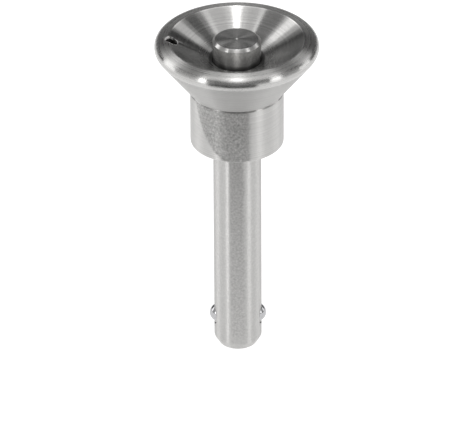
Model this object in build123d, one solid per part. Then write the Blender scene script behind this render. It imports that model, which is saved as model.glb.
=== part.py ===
from build123d import *
import math
import os

# Ball lock pin with a push button in a thumb dish.
# Millimetres. The origin is the centre of the tip face, +Z runs up to the dish,
# the two balls lie along X, and the lanyard hole is on the -X side.

# Pin: the diameter that fits the hole, and its length below the collar.
pin_d = 10.0
collar_from_tip = 49.2

# Locking: how far the balls stand out, and the button's stroke that lets them in.
ball_stand_out = 1.0
button_travel = 4.0

# Tip of the shank, and the relief that keeps the staked rings inside the pin's diameter.
tip_taper_width = 1.0
tip_taper_length = 1.7
tip_taper_round = 1.0
tip_edge_break = 0.15
head_relief = 0.02
head_relief_past_stake = 0.2

# Cam on the spindle: neck, land and stop flange.
neck_d = 1.8
ball_to_neck_gap = 0.1
land_past_ball = 0.2
flange_step = 0.33
flange_height = 1.4
tip_reserve = 0.44
cam_clearance = 0.02
stop_clearance = 0.04

# Ball pockets: the seat that holds a ball in, and the groove staked round its mouth.
ball_clearance = 0.04
stake_lip = 0.08
stake_groove_width = 0.36
stake_groove_depth = 0.4

# Shank: its bores, and the spigot that is pressed into the handle up to a shoulder.
spindle_clearance = 0.05
spindle_bore_break = 0.2
spring_bore_depth = 12.2
spigot_d = 9.0
spigot_top_from_collar = 7.0
spigot_top_break = 0.3
grinding_undercut = 0.2
press_interference = 0.01

# Handle: collar, flare and rounded rim.
collar_d = 19.4
collar_length = 12.1
collar_edge_break = 0.4
handle_height = 24.0
rim_d = 34.0
rim_width = 3.0
rim_round = 1.6

# Thumb dish, and the clearance ring where the shank enters the collar.
dish_depth = 4.8
dish_edge_break = 0.25
mouth_gap = 0.35
mouth_depth = 1.0

# Lanyard hole through the flare, parallel to the pin.
lanyard_hole_d = 2.6
lanyard_from_rim = 3.6
lanyard_edge_break = 0.2

# Button.
button_d = 10.0
button_clearance = 0.1
button_proud = 0.0
button_top_break = 0.55
button_foot_break = 0.3
button_stop_gap = 0.05
button_crown = 3.0
centre_mark_d = 0.5
spring_pocket_depth = 1.5

# Stud of the spindle, pressed into the button.
stud_d = 3.2
stud_hole_spare = 0.3
spindle_end_break = 0.3

# Return spring, round the spindle in the bore of the shank.
spring_wire_d = 0.6
spring_wire_sides = 6
spring_coils = 4.5
closed_coil_gap = 0.04
spring_rod_gap = 0.3
spring_bore_gap = 0.4
spring_end_clearance = 0.02

# The ball is the largest that sinks flush and still clears the neck.
pin_r = pin_d / 2
neck_r = neck_d / 2
ball_r = (pin_r - neck_r - ball_to_neck_gap) / 2
ball_out = pin_r + ball_stand_out - ball_r
ball_in = ball_out - ball_stand_out

# The balls move in as the cam moves down, so the cam's ramp has this slope.
cam_slope = ball_stand_out / button_travel
ramp_r_at_ball = ball_out - (ball_r + cam_clearance) * math.hypot(1, cam_slope)
land_r = ramp_r_at_ball - cam_slope * land_past_ball
spindle_r = land_r + flange_step

# With the button home, the spindle's foot stays inside the tip.
stop_reach = ball_r + stop_clearance
stop_drop = math.sqrt(stop_reach ** 2 - (ball_out - spindle_r) ** 2)
spindle_foot = button_travel + tip_reserve
flange_top = spindle_foot + flange_height
ball_from_tip = flange_top + stop_drop

# Above the staked rings the shank has its full diameter, which is the grip.
stake_inner_r = ball_r + ball_clearance + stake_lip
stake_outer_r = stake_inner_r + stake_groove_width
grip_foot = ball_from_tip + stake_outer_r + head_relief_past_stake

# Bores and spigot of the shank.
spindle_bore_r = spindle_r + spindle_clearance
spigot_r = spigot_d / 2
spring_wire_r = spring_wire_d / 2
spring_mean_r = spindle_r + spring_rod_gap + spring_wire_r
spring_bore_r = spring_mean_r + spring_wire_r + spring_bore_gap

# Heights up the pin.
shank_top = collar_from_tip + spigot_top_from_collar
shoulder = collar_from_tip + mouth_depth
spring_seat = shank_top - spring_bore_depth
flare_root = collar_from_tip + collar_length
rim_top = collar_from_tip + handle_height
button_top = rim_top + button_proud
button_foot = shank_top + button_travel + button_stop_gap
spring_ceiling = button_foot + spring_pocket_depth
stud_hole_top = button_top - button_crown

# Radii of the handle.
collar_r = collar_d / 2
rim_r = rim_d / 2
dish_r = rim_r - rim_width
button_bore_r = button_d / 2 + button_clearance
lanyard_radius = rim_r - lanyard_from_rim


def section(points):
    """Closed outline of (radius, height) points, ready to round and turn about Z."""
    return Plane.XZ * make_face(Polyline(*points, close=True))


def corner(outline, point):
    """The corner of an outline that lies at a (radius, height) point."""
    radius, height = point
    return outline.vertices().sort_by_distance(Vector(radius, 0, height))[0]


def turned(outline, name):
    """Solid of revolution about Z, labelled with its name."""
    solid = revolve(outline, Axis.Z, 360)
    solid.label = name
    return solid


def flare_angle():
    """Angle from the horizontal of the cone that leaves the collar and touches the rim's round."""
    across = (rim_r - rim_round) - collar_r
    up = (rim_top - rim_round) - flare_root
    return math.atan2(up, across) - math.asin(rim_round / math.hypot(across, up))


def lanyard_drill():
    """The cylinder that the lanyard hole takes out of the flare."""
    height = rim_top - flare_root
    return Pos(-lanyard_radius, 0, flare_root + height / 2) * Cylinder(lanyard_hole_d / 2, 2 * height)


def make_handle():
    """Collar, flare, rounded rim and thumb dish, turned in one piece."""
    mouth_r = pin_r + mouth_gap
    spigot_bore_r = spigot_r - press_interference
    apex_r = collar_r + (rim_top - flare_root) / math.tan(flare_angle())
    collar_edge = (collar_r, collar_from_tip)
    apex = (apex_r, rim_top)
    dish_edge = (dish_r, rim_top)
    outline = section([
        (mouth_r, collar_from_tip),
        collar_edge,
        (collar_r, flare_root),
        apex,
        dish_edge,
        (button_bore_r, rim_top - dish_depth),
        (button_bore_r, shank_top),
        (spigot_bore_r, shank_top),
        (spigot_bore_r, shoulder),
        (mouth_r, shoulder),
    ])
    outline = chamfer(corner(outline, collar_edge), collar_edge_break)
    outline = fillet(corner(outline, apex), rim_round)
    outline = chamfer(corner(outline, dish_edge), dish_edge_break)
    blank = turned(outline, "handle")
    drill = lanyard_drill()
    drilled = blank - drill
    handle = chamfer(new_edges(blank, drill, combined=drilled), lanyard_edge_break)
    handle.label = "handle"
    return handle


def ball_pocket():
    """Hole for one ball on the +X side: a bore with a round seat that stops the ball going out."""
    pocket_r = ball_r + ball_clearance
    bore = Rot(0, 90, 0) * Cylinder(pocket_r, ball_out, align=(Align.CENTER, Align.CENTER, Align.MIN))
    seat = Pos(ball_out, 0, 0) * Sphere(pocket_r)
    return bore + seat


def stake_groove():
    """Flat-bottomed ring struck round a ball. It bites only where the shank bulges above its floor."""
    standing = (Align.CENTER, Align.CENTER, Align.MIN)
    outer = Cylinder(stake_outer_r, ball_r, align=standing)
    core = Cylinder(stake_inner_r, ball_r, align=standing)
    return Pos(pin_r - stake_groove_depth, 0, 0) * Rot(0, 90, 0) * (outer - core)


def make_shank():
    """Hollow pin: lead-in taper, ball pockets, ground grip, undercut shoulder, spigot and spring bore."""
    undercut_r = pin_r - grinding_undercut
    bore_edge = (spindle_bore_r, 0)
    tip_edge = (pin_r - tip_taper_width, 0)
    taper_edge = (pin_r - head_relief, tip_taper_length)
    spigot_edge = (spigot_r, shank_top)
    outline = section([
        bore_edge,
        tip_edge,
        taper_edge,
        (pin_r, grip_foot),
        (pin_r, collar_from_tip),
        (undercut_r, collar_from_tip + grinding_undercut),
        (undercut_r, shoulder),
        (spigot_r, shoulder),
        spigot_edge,
        (spring_bore_r, shank_top),
        (spring_bore_r, spring_seat),
        (spindle_bore_r, spring_seat),
    ])
    outline = chamfer(corner(outline, bore_edge), spindle_bore_break)
    outline = chamfer(corner(outline, tip_edge), tip_edge_break)
    outline = fillet(corner(outline, taper_edge), tip_taper_round)
    outline = chamfer(corner(outline, spigot_edge), spigot_top_break)
    shank = turned(outline, "shank")
    for side in (0, 180):
        at_ball = Pos(0, 0, ball_from_tip) * Rot(0, 0, side)
        shank = shank - at_ball * ball_pocket() - at_ball * stake_groove()
    shank.label = "shank"
    return shank


def make_ball(side, name):
    """Locking ball against its seat, on the +X side for 1 and the -X side for -1."""
    ball = Pos(side * ball_out, 0, ball_from_tip) * Sphere(ball_r)
    ball.label = name
    return ball


def cam_outline():
    """(radius, height) points of the cam from the stop flange to the full rod.

    Pressing the button moves the cam down and the balls in, both evenly, so seen from the
    spindle a ball's centre climbs a straight line. The ramp is that line set off by the ball,
    and the 45 degree shoulder above the neck clears the ball when the button is home.
    """
    land_top = ball_from_tip + land_past_ball
    ramp_length = (land_r - neck_r) / cam_slope
    shoulder_rise = math.sqrt(2) * stop_reach - (ball_in - spindle_r)
    shoulder_top = ball_from_tip + button_travel + shoulder_rise
    return [
        (spindle_r, flange_top),
        (land_r, flange_top + flange_step),
        (land_r, land_top),
        (neck_r, land_top + ramp_length),
        (neck_r, shoulder_top - (spindle_r - neck_r)),
        (spindle_r, shoulder_top),
    ]


def make_spindle():
    """Rod with its cam at the foot and a stud at the head."""
    stud_r = stud_d / 2
    stud_top = stud_hole_top - stud_hole_spare
    foot = (spindle_r, spindle_foot)
    head = (stud_r, stud_top)
    outline = section([
        (0, spindle_foot),
        foot,
        *cam_outline(),
        (spindle_r, spring_ceiling),
        (stud_r, spring_ceiling),
        head,
        (0, stud_top),
    ])
    outline = chamfer(corner(outline, foot), spindle_end_break)
    outline = chamfer(corner(outline, head), spindle_end_break)
    return turned(outline, "spindle")


def make_button():
    """Push button with a pocket for the spring and a blind hole for the spindle's stud."""
    button_r = button_d / 2
    stud_hole_r = stud_d / 2 - press_interference
    mark_r = centre_mark_d / 2
    foot = (button_r, button_foot)
    rim = (button_r, button_top)
    outline = section([
        (0, stud_hole_top),
        (stud_hole_r, stud_hole_top),
        (stud_hole_r, spring_ceiling),
        (spring_bore_r, spring_ceiling),
        (spring_bore_r, button_foot),
        foot,
        rim,
        (mark_r, button_top),
        (0, button_top - mark_r),
    ])
    outline = chamfer(corner(outline, foot), button_foot_break)
    outline = chamfer(corner(outline, rim), button_top_break)
    return turned(outline, "button")


def spring_run(foot, rise, start_turn, turns):
    """One run of the spring's wire, from a height and a turn about Z where the run below it ends.

    Each run starts and ends in a half plane through Z, so that runs of different pitch meet face to face.
    """
    turned_by = 360 * start_turn
    coil = Pos(0, 0, foot) * Rot(0, 0, turned_by) * Helix(rise / turns, rise, spring_mean_r)
    outward = Vector(1, 0, 0).rotate(Axis.Z, turned_by)
    half_plane = Plane(origin=coil @ 0, x_dir=outward, z_dir=Vector(0, 0, 1).cross(outward))
    wire = half_plane * RegularPolygon(spring_wire_r, spring_wire_sides)
    return sweep(wire, path=coil, is_frenet=True)


def make_return_spring():
    """Helical spring between its seat in the shank and the button, with closed ends ground flat."""
    low = spring_seat + spring_end_clearance
    high = spring_ceiling - spring_end_clearance
    closed_rise = spring_wire_d + closed_coil_gap
    open_rise = high - low - 2 * closed_rise
    bottom = spring_run(low, closed_rise, 0, 1)
    middle = spring_run(low + closed_rise, open_rise, 1, spring_coils)
    top = spring_run(high - closed_rise, closed_rise, 1 + spring_coils, 1)
    standing = (Align.CENTER, Align.CENTER, Align.MIN)
    ground_between = Pos(0, 0, low) * Cylinder(spring_bore_r, high - low, align=standing)
    spring = (bottom + middle + top) & ground_between
    spring.label = "return_spring"
    return spring


def write_parts(pieces):
    """Write each piece to parts/NAME.step."""
    os.makedirs("parts", exist_ok=True)
    for piece in pieces:
        export_step(piece, "parts/" + piece.label + ".step")


write_parts([
    make_handle(),
    make_shank(),
    make_spindle(),
    make_button(),
    make_return_spring(),
    make_ball(-1, "ball_left"),
    make_ball(1, "ball_right"),
])
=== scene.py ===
import logging
import math
from dataclasses import dataclass, field
from enum import Enum
from typing import Callable, Dict, List, Sequence, Tuple, Union

import bmesh
import bpy
from mathutils import Matrix, Vector


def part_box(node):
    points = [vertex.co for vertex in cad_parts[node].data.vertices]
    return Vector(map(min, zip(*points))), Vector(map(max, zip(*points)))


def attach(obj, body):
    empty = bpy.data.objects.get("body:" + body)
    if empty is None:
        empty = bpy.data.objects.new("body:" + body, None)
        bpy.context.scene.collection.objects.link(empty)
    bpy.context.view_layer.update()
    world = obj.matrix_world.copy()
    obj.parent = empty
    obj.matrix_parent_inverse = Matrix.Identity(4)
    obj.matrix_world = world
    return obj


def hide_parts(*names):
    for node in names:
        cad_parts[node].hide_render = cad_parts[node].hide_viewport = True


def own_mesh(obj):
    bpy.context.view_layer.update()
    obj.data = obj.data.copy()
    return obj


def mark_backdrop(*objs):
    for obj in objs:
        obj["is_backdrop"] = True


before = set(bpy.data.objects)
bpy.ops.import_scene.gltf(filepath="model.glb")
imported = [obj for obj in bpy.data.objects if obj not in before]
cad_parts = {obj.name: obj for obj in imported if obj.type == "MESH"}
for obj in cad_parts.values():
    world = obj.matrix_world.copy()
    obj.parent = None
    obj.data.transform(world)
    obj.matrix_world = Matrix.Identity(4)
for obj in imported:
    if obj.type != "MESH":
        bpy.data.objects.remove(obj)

LOG = logging.getLogger("ball_lock_pin")

Colour = Tuple[float, float, float]
Point = Tuple[float, float]

# All sizes are in metres. Z is the pin's axis, and the pin stands on z = 0.
ON_AXIS = 1e-9
ON_WALL = 1e-5

# Steps of a full turn, for the pin's pieces, the spindle inside it and the cutters
AXIS_ROUNDS = 320
SPINDLE_ROUNDS = 128
CUTTER_ROUNDS = 96

QUARTER_STEPS = 16
PANEL_STEPS = 8
ARC_STEP = math.radians(9)
SHARP_ANGLE = math.radians(32)

# A noise field varies round NOISE_MEAN, and a tone makes the metal up to TONE_ROOM times as light.
NOISE_MEAN = 0.5
TONE_ROOM = 2.0
QUARTER_TURN = 0.25
MOTTLES_PER_METRE = 2200.0
STAINS_PER_METRE = 330.0

BLACK: Colour = (0.0, 0.0, 0.0)
WHITE: Colour = (1.0, 1.0, 1.0)
STAINLESS: Colour = (0.56, 0.555, 0.545)
CHROME: Colour = (0.46, 0.46, 0.47)


class Body(Enum):
    """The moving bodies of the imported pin."""

    PIN = "pin"
    PLUNGER = "plunger"
    LEFT_BALL = "left_ball"
    RIGHT_BALL = "right_ball"


class Slot(Enum):
    """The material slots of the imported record."""

    HANDLE = "turned_handle"
    SHANK = "ground_shank"
    BUTTON = "turned_button"
    BALL = "polished_ball"
    SPINDLE = "spindle_steel"
    SPRING = "spring_wire"


# Turned profiles and meshes

@dataclass(frozen=True)
class Corner:
    """One corner of a turned profile.

    Attributes:
        radius: Distance from the axis.
        height: Height along the axis.
        rounding: Radius of the arc that rounds the corner, or 0 for a sharp one.
    """

    radius: float
    height: float
    rounding: float = 0.0

    @property
    def place(self) -> Vector:
        """The corner as a plane vector of radius and height."""
        return Vector((self.radius, self.height))


def arc_at(before: Corner, corner: Corner, after: Corner) -> List[Point]:
    """Points of the arc that rounds one corner.

    Args:
        before: The corner before it.
        corner: The corner to round.
        after: The corner after it.

    Returns:
        The (radius, height) points from one tangent point to the other.
    """
    back = (before.place - corner.place).normalized()
    ahead = (after.place - corner.place).normalized()
    half_angle = back.angle(ahead) / 2
    bisector = (back + ahead).normalized()
    centre = corner.place + bisector * corner.rounding / math.sin(half_angle)
    reach = corner.rounding / math.tan(half_angle)
    start = corner.place + back * reach - centre
    end = corner.place + ahead * reach - centre
    turn = start.angle_signed(end)
    steps = max(3, math.ceil(abs(turn) / ARC_STEP))
    points = []
    for step in range(steps + 1):
        spoke = start.copy()
        spoke.rotate(Matrix.Rotation(-turn * step / steps, 2))
        points.append(tuple(centre + spoke))
    return points


def rounded(corners: Sequence[Corner], closed: bool) -> List[Point]:
    """Profile with an arc in place of each rounded corner.

    Args:
        corners: The corners in order.
        closed: True if the last corner joins the first.

    Returns:
        The (radius, height) points of the profile.
    """
    points: List[Point] = []
    last = len(corners) - 1
    for index, corner in enumerate(corners):
        at_end = not closed and index in (0, last)
        if corner.rounding == 0 or at_end:
            points.append((corner.radius, corner.height))
        else:
            points += arc_at(corners[index - 1], corner, corners[(index + 1) % len(corners)])
    return points


def finished_object(name: str, shape: bmesh.types.BMesh) -> bpy.types.Object:
    """Turn a mesh under construction into an object with smooth faces and crisp edges.

    Args:
        name: The piece's name.
        shape: The mesh, which is freed.

    Returns:
        The object, linked to the scene.
    """
    bmesh.ops.recalc_face_normals(shape, faces=shape.faces[:])
    mesh = bpy.data.meshes.new(name)
    shape.to_mesh(mesh)
    shape.free()
    mesh.shade_smooth()
    mesh.set_sharp_from_angle(angle=SHARP_ANGLE)
    piece = bpy.data.objects.new(name, mesh)
    bpy.context.scene.collection.objects.link(piece)
    return piece


def turned(name: str, profile: Sequence[Point], closed: bool, rounds: int = AXIS_ROUNDS) -> bpy.types.Object:
    """Piece of revolution about Z.

    Args:
        name: The piece's name.
        profile: The (radius, height) points. An open profile starts and ends on the axis.
        closed: True if the last point joins the first.
        rounds: How many steps the turn about Z takes.

    Returns:
        The turned object.
    """
    shape = bmesh.new()
    rings: List[List[bmesh.types.BMVert]] = []
    for radius, height in profile:
        if radius < ON_AXIS:
            rings.append([shape.verts.new((0, 0, height))])
            continue
        angles = [2 * math.pi * step / rounds for step in range(rounds)]
        rings.append([shape.verts.new((radius * math.cos(a), radius * math.sin(a), height)) for a in angles])
    pairs = list(zip(rings, rings[1:]))
    if closed:
        pairs.append((rings[-1], rings[0]))
    for low, high in pairs:
        for step in range(rounds):
            onward = (step + 1) % rounds
            face = [
                low[step % len(low)], low[onward % len(low)],
                high[onward % len(high)], high[step % len(high)],
            ]
            shape.faces.new(list(dict.fromkeys(face)))
    return finished_object(name, shape)


def cut_away(piece: bpy.types.Object, cutters: Sequence[bpy.types.Object]) -> None:
    """Take the cutters' volumes out of a piece, and throw the cutters away.

    Args:
        piece: The piece to cut.
        cutters: Closed objects.
    """
    for cutter in cutters:
        modifier = piece.modifiers.new("cut", "BOOLEAN")
        modifier.operation = "DIFFERENCE"
        modifier.solver = "EXACT"
        modifier.object = cutter
    evaluated = piece.evaluated_get(bpy.context.evaluated_depsgraph_get())
    cut_mesh = bpy.data.meshes.new_from_object(evaluated)
    piece.modifiers.clear()
    piece.data = cut_mesh
    for cutter in cutters:
        bpy.data.objects.remove(cutter)


def soften_edges(piece: bpy.types.Object, chosen: Callable[[Vector], bool], width: float, steps: int) -> None:
    """Round the crisp edges of a piece that lie where the chooser says.

    Args:
        piece: The piece to change.
        chosen: Says whether a vertex's place is on an edge to round.
        width: How far the round reaches from the edge.
        steps: How many faces the round has.
    """
    shape = bmesh.new()
    shape.from_mesh(piece.data)
    edges = [
        edge for edge in shape.edges
        if len(edge.link_faces) == 2
        and edge.calc_face_angle() > SHARP_ANGLE
        and all(chosen(vert.co) for vert in edge.verts)
    ]
    bmesh.ops.bevel(
        shape, geom=edges, offset=width, offset_type="OFFSET", segments=steps,
        profile=0.5, affect="EDGES", clamp_overlap=True,
    )
    shape.to_mesh(piece.data)
    shape.free()
    piece.data.shade_smooth()
    piece.data.set_sharp_from_angle(angle=SHARP_ANGLE)


# Finishes

Value = Union["Field", float, Sequence[float]]


class Field:
    """A number, colour or vector that varies over a surface, for use in plain arithmetic."""

    def __init__(self, bench: "Bench", socket: bpy.types.NodeSocket) -> None:
        """Keep the finish's bench and the output socket."""
        self.bench = bench
        self.socket = socket

    def maths(self, operation: str, *values: Value) -> "Field":
        """Result of a Math node on these values."""
        return self.bench.node("ShaderNodeMath", {"operation": operation}, dict(enumerate(values)))

    def __add__(self, other: Value) -> "Field":
        """Sum."""
        return self.maths("ADD", self, other)

    __radd__ = __add__

    def __sub__(self, other: Value) -> "Field":
        """Difference."""
        return self.maths("SUBTRACT", self, other)

    def __rsub__(self, other: Value) -> "Field":
        """Difference from a number."""
        return self.maths("SUBTRACT", other, self)

    def __mul__(self, other: Value) -> "Field":
        """Product."""
        return self.maths("MULTIPLY", self, other)

    __rmul__ = __mul__

    def __truediv__(self, other: Value) -> "Field":
        """Quotient."""
        return self.maths("DIVIDE", self, other)

    def __pow__(self, other: Value) -> "Field":
        """Power."""
        return self.maths("POWER", self, other)

    def __abs__(self) -> "Field":
        """Size without sign."""
        return self.maths("ABSOLUTE", self)

    def root(self) -> "Field":
        """Square root."""
        return self.maths("SQRT", self)

    def least(self, other: Value) -> "Field":
        """Smaller of two values."""
        return self.maths("MINIMUM", self, other)

    def most(self, other: Value) -> "Field":
        """Greater of two values."""
        return self.maths("MAXIMUM", self, other)

    def rising(self, low: float, high: float) -> "Field":
        """Mask that climbs smoothly from 0 at one value to 1 at another.

        Args:
            low: The value where the mask is 0.
            high: The value where the mask is 1.

        Returns:
            The mask.
        """
        settings = {"interpolation_type": "SMOOTHSTEP"}
        limits = {"Value": self, "From Min": low, "From Max": high}
        return self.bench.node("ShaderNodeMapRange", settings, limits)

    def within(self, centre: float, width: float) -> "Field":
        """Mask that is 1 at a value and fades smoothly to 0 a width away from it.

        Args:
            centre: The value where the mask is 1.
            width: How far from it the mask reaches 0.

        Returns:
            The mask.
        """
        return 1 - abs(self - centre).rising(0.0, width)


class Bench:
    """Where the nodes of one finish are made and joined."""

    MIX_COLOURS = {"data_type": "RGBA"}
    MIX_FIRST = 6
    MIX_SECOND = 7
    MIX_RESULT = 2

    def __init__(self, name: str) -> None:
        """Start an empty material.

        Args:
            name: The material's name.
        """
        self.material = bpy.data.materials.new(name)
        self.material.use_nodes = True
        self.tree = self.material.node_tree
        self.tree.nodes.clear()

    def node(self, kind: str, settings: Dict, values: Dict, output: Union[int, str] = 0) -> Field:
        """Make a node, set it and feed its sockets.

        Args:
            kind: The node's type.
            settings: Its settings, set first.
            values: Numbers, colours or fields for its input sockets, by name or number.
            output: The output socket to return, by name or number.

        Returns:
            The output as a field.
        """
        made = self.tree.nodes.new(kind)
        for name, setting in settings.items():
            setattr(made, name, setting)
        for key, value in values.items():
            self.feed(made.inputs[key], value)
        return Field(self, made.outputs[output])

    def feed(self, socket: bpy.types.NodeSocket, value: Value) -> None:
        """Link a field to a socket, or set the socket's own value.

        Args:
            socket: The input socket.
            value: A field, a number or a colour.
        """
        if isinstance(value, Field):
            self.tree.links.new(value.socket, socket)
        elif isinstance(value, (int, float)):
            socket.default_value = value
        else:
            room = len(socket.default_value)
            socket.default_value = (*value, 1.0)[:room]

    def place(self) -> "Place":
        """Where a point lies on the piece.

        Returns:
            The place.
        """
        spot = self.node("ShaderNodeTexCoord", {}, {}, "Object")
        x = self.node("ShaderNodeSeparateXYZ", {}, {"Vector": spot}, "X")
        parts = x.socket.node.outputs
        y, z = Field(self, parts["Y"]), Field(self, parts["Z"])
        return Place(spot, x, y, z, (x * x + y * y).root())

    def noise(self, vector: Field, scale: float, detail: float = 3.0) -> Field:
        """Smooth random field from 0 to 1.

        Args:
            vector: Where it is read.
            scale: Features per metre.
            detail: How many finer layers it has.

        Returns:
            The field.
        """
        return self.node("ShaderNodeTexNoise", {}, {"Vector": vector, "Scale": scale, "Detail": detail})

    def mix(self, share: Value, first: Value, second: Value) -> Field:
        """Colour between two colours.

        Args:
            share: How much of the second colour, from 0 to 1.
            first: The first colour.
            second: The second colour.

        Returns:
            The mixed colour.
        """
        values = {0: share, self.MIX_FIRST: first, self.MIX_SECOND: second}
        return self.node("ShaderNodeMix", self.MIX_COLOURS, values, self.MIX_RESULT)

    def bump(self, height: Field, strength: float, distance: float) -> Field:
        """Normal of a surface with a fine relief.

        Args:
            height: The relief's height.
            strength: How much of the relief shows, from 0 to 1.
            distance: Size in metres that a height of 1 stands for.

        Returns:
            The normal.
        """
        values = {"Strength": strength, "Distance": distance, "Height": height}
        return self.node("ShaderNodeBump", {}, values)

    def finish(self, values: Dict) -> bpy.types.Material:
        """End the material with a Principled shader.

        Args:
            values: Values and fields of the shader's sockets, by name.

        Returns:
            The material.
        """
        surface = self.node("ShaderNodeBsdfPrincipled", {}, values)
        self.node_output(surface)
        return self.material

    def node_output(self, surface: Field) -> None:
        """Send a shader to the material's output."""
        output = self.tree.nodes.new("ShaderNodeOutputMaterial")
        self.tree.links.new(surface.socket, output.inputs["Surface"])


@dataclass(frozen=True)
class Place:
    """Where a point of a piece lies.

    Attributes:
        spot: Its place as a vector.
        x: How far it lies along X.
        y: How far it lies along Y.
        height: How far it lies along Z.
        radius: Its distance from Z.
    """

    spot: Field
    x: Field
    y: Field
    height: Field
    radius: Field

    def across_marks(self) -> Field:
        """Vector that stays the same all the way round Z."""
        return self.spot.bench.node("ShaderNodeCombineXYZ", {}, {"X": self.radius, "Y": self.height})

    def azimuth(self) -> Field:
        """Angle round Z from the front towards +X, in radians."""
        return self.x.maths("ARCTAN2", self.x, 0 - self.y)


def shade(colour: Colour, factor: float) -> Colour:
    """Colour made lighter or darker by a factor."""
    return tuple(channel * factor for channel in colour)


@dataclass(frozen=True, kw_only=True)
class Area:
    """A part of a turned piece with a roughness and a tone of its own.

    Attributes:
        roughness: Its mean roughness.
        tone: Its lightness against the rest.
        grain: How much stronger its fine unevenness is than the rest's.
        dulled: How far it has lost its metallic gloss, from 0 to 1.
    """

    roughness: float
    tone: float = 1.0
    grain: float = 1.0
    dulled: float = 0.0

    def mask(self, place: Place) -> Field:
        """Mask that says how far the area takes over."""
        raise NotImplementedError


@dataclass(frozen=True, kw_only=True)
class WornEdge(Area):
    """A ring round Z where handling has brightened the metal.

    Attributes:
        radius: The ring's radius.
        height: The ring's height.
        reach: How far from the ring the wear shows.
        least_wear: Wear on the ring where there is no rub.
        rub_wear: How much a rub adds to it.
        rubs_per_metre: How fine the rubs are.
    """

    radius: float
    height: float
    reach: float
    least_wear: float = 0.3
    rub_wear: float = 0.5
    rubs_per_metre: float = 900.0

    def mask(self, place: Place) -> Field:
        """Mask that is greatest on the ring, broken up by small rubs.

        Args:
            place: Where a point lies on the piece.

        Returns:
            The mask.
        """
        rubs = place.spot.bench.noise(place.spot, self.rubs_per_metre, detail=2.0)
        wear = self.least_wear + self.rub_wear * rubs
        near = place.radius.within(self.radius, self.reach) * place.height.within(self.height, self.reach)
        return near * wear


@dataclass(frozen=True, kw_only=True)
class Band(Area):
    """A band round Z.

    Attributes:
        radii: Its least and greatest distance from Z.
        heights: Its least and greatest height.
        fade: How far inside those limits it takes over.
    """

    radii: Tuple[float, float]
    heights: Tuple[float, float]
    fade: float

    def mask(self, place: Place) -> Field:
        """Mask that is 1 in the band and fades to 0 at its limits.

        Args:
            place: Where a point lies on the piece.

        Returns:
            The mask.
        """
        across = (place.radius - self.radii[0]).least(self.radii[1] - place.radius)
        along = (place.height - self.heights[0]).least(self.heights[1] - place.height)
        return across.least(along).rising(0.0, self.fade)


@dataclass(frozen=True, kw_only=True)
class DrilledWall(Area):
    """The wall of a hole that is drilled along Z through the edge of a dish.

    Attributes:
        axis_x: Where the hole's axis crosses X.
        hole_radius: The hole's radius.
        past_wall: How far past the wall it still shows.
        dish_edge: Radius and height of the dish's edge.
        dish_slope: Rise of the dish for each metre outwards.
        depths: Depths under the hole's mouth between which it takes over, or less than 0 above it.
    """

    axis_x: float
    hole_radius: float
    past_wall: float
    dish_edge: Point
    dish_slope: float
    depths: Tuple[float, float]

    def mask(self, place: Place) -> Field:
        """Mask that is 1 on the wall, from a given depth down.

        Args:
            place: Where a point lies on the piece.

        Returns:
            The mask.
        """
        aside = place.x - self.axis_x
        from_axis = (aside * aside + place.y * place.y).root()
        on_wall = 1 - from_axis.rising(self.hole_radius, self.hole_radius + self.past_wall)
        radius, height = self.dish_edge
        mouth = height - (radius - place.radius).most(0.0) * self.dish_slope
        return on_wall * (mouth - place.height).rising(*self.depths)


@dataclass(frozen=True, kw_only=True)
class PaintedHoleHighlight(DrilledWall):
    """Painted highlight round the mouth of such a hole: a ring coloured much lighter, in place of the light
    that its rounded edge would catch.

    Attributes:
        breaks_per_metre: How fine its breaks are.
        breaks: Values of their noise between which the painted highlight comes back.
    """

    breaks_per_metre: float = 1500.0
    breaks: Tuple[float, float] = (0.35, 0.6)

    def mask(self, place: Place) -> Field:
        """Mask that is 1 on the painted highlight, broken up along its length."""
        unbroken = place.spot.bench.noise(place.spot, self.breaks_per_metre, detail=1.0).rising(*self.breaks)
        return super().mask(place) * unbroken


@dataclass(frozen=True, kw_only=True)
class MattPatch(Area):
    """A blotchy matt patch on the side of a turned piece, crisp on its left and fading to its right.

    Attributes:
        heights: The patch's foot and head.
        left: Azimuth of the crisp edge at the head, in radians from the front towards +X.
        curve: Power with which that edge swings to the front as it goes down.
        right: Azimuth where the patch has faded out.
        crisp: Width of the crisp edge in radians.
        fade: Width of the fading edge in radians.
        end_fade: Height over which it fades at its foot and head.
        rags_per_metre: How fine its unevenness is.
    """

    heights: Tuple[float, float]
    left: float
    curve: float
    right: float
    crisp: float
    fade: float
    end_fade: float = 0.0004
    rags_per_metre: float = 1100.0

    def mask(self, place: Place) -> Field:
        """Mask that is 1 in the patch, with an uneven edge.

        Args:
            place: Where a point lies on the piece.

        Returns:
            The mask.
        """
        low, high = self.heights
        share = ((place.height - low) / (high - low)).most(0.0).least(1.0)
        ragged = place.spot.bench.noise(place.spot, self.rags_per_metre, detail=3.0) - NOISE_MEAN
        azimuth = place.azimuth() + ragged * 2 * self.crisp
        left = (azimuth - share ** self.curve * self.left).rising(0.0, self.crisp)
        right = 1 - azimuth.rising(self.right - self.fade, self.right)
        above_foot = place.height.rising(low, low + self.end_fade)
        on_side = above_foot * (1 - place.height.rising(high - self.end_fade, high))
        return left * right * on_side


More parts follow.
